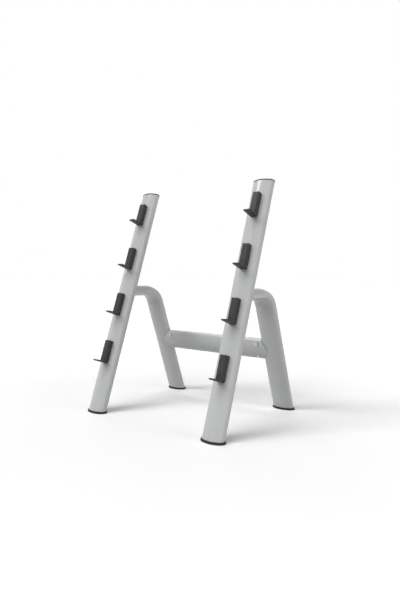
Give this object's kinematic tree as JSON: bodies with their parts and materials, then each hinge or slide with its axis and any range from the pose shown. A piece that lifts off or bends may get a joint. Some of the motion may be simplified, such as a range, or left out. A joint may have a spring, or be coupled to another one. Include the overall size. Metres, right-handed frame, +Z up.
{
  "type": "barbell rack",
  "caption": "Free-standing barbell storage rack: leaning side frames of oval tube joined by a crossbar, with black moulded bar holders up the front.",
  "frame": {"origin": "on the floor, at the centre of the four feet's outline", "axes": "+Z up, +X to the right for someone facing the rack, +Y to the rear; the holders face -Y"},
  "size_m": [0.919, 0.7638, 1.2428],
  "materials": {
    "frame_paint": "light grey gloss powder coat",
    "holder_moulding": "black, fine satin mould texture",
    "foot_rubber": "black, matt",
    "cap_plastic": "black, semi-gloss",
    "bright_zinc": "bright zinc plate",
    "black_steel": "black oxide",
    "raw_steel": "mill finish, unpainted"
  },
  "bodies": {
    "root": {"left_upright": "frame_paint", "left_rear_leg": "frame_paint", "left_top_cap": "cap_plastic", "left_front_foot": "foot_rubber", "left_rear_foot": "foot_rubber", "right_upright": "frame_paint", "right_rear_leg": "frame_paint", "right_top_cap": "cap_plastic", "right_front_foot": "foot_rubber", "right_rear_foot": "foot_rubber", "crossbar": "frame_paint", "left_crossbar_socket": "raw_steel", "left_crossbar_bolts": "bright_zinc", "left_crossbar_washers": "bright_zinc", "left_crossbar_nuts": "bright_zinc", "right_crossbar_socket": "raw_steel", "right_crossbar_bolts": "bright_zinc", "right_crossbar_washers": "bright_zinc", "right_crossbar_nuts": "bright_zinc", "left_holder_1": "holder_moulding", "left_holder_2": "holder_moulding", "left_holder_3": "holder_moulding", "left_holder_4": "holder_moulding", "right_holder_1": "holder_moulding", "right_holder_2": "holder_moulding", "right_holder_3": "holder_moulding", "right_holder_4": "holder_moulding", "left_holder_core_1": "raw_steel", "left_holder_core_2": "raw_steel", "left_holder_core_3": "raw_steel", "left_holder_core_4": "raw_steel", "right_holder_core_1": "raw_steel", "right_holder_core_2": "raw_steel", "right_holder_core_3": "raw_steel", "right_holder_core_4": "raw_steel", "left_holder_screws": "black_steel", "left_holder_inserts": "bright_zinc", "right_holder_screws": "black_steel", "right_holder_inserts": "bright_zinc"}
  },
  "joints": []
}
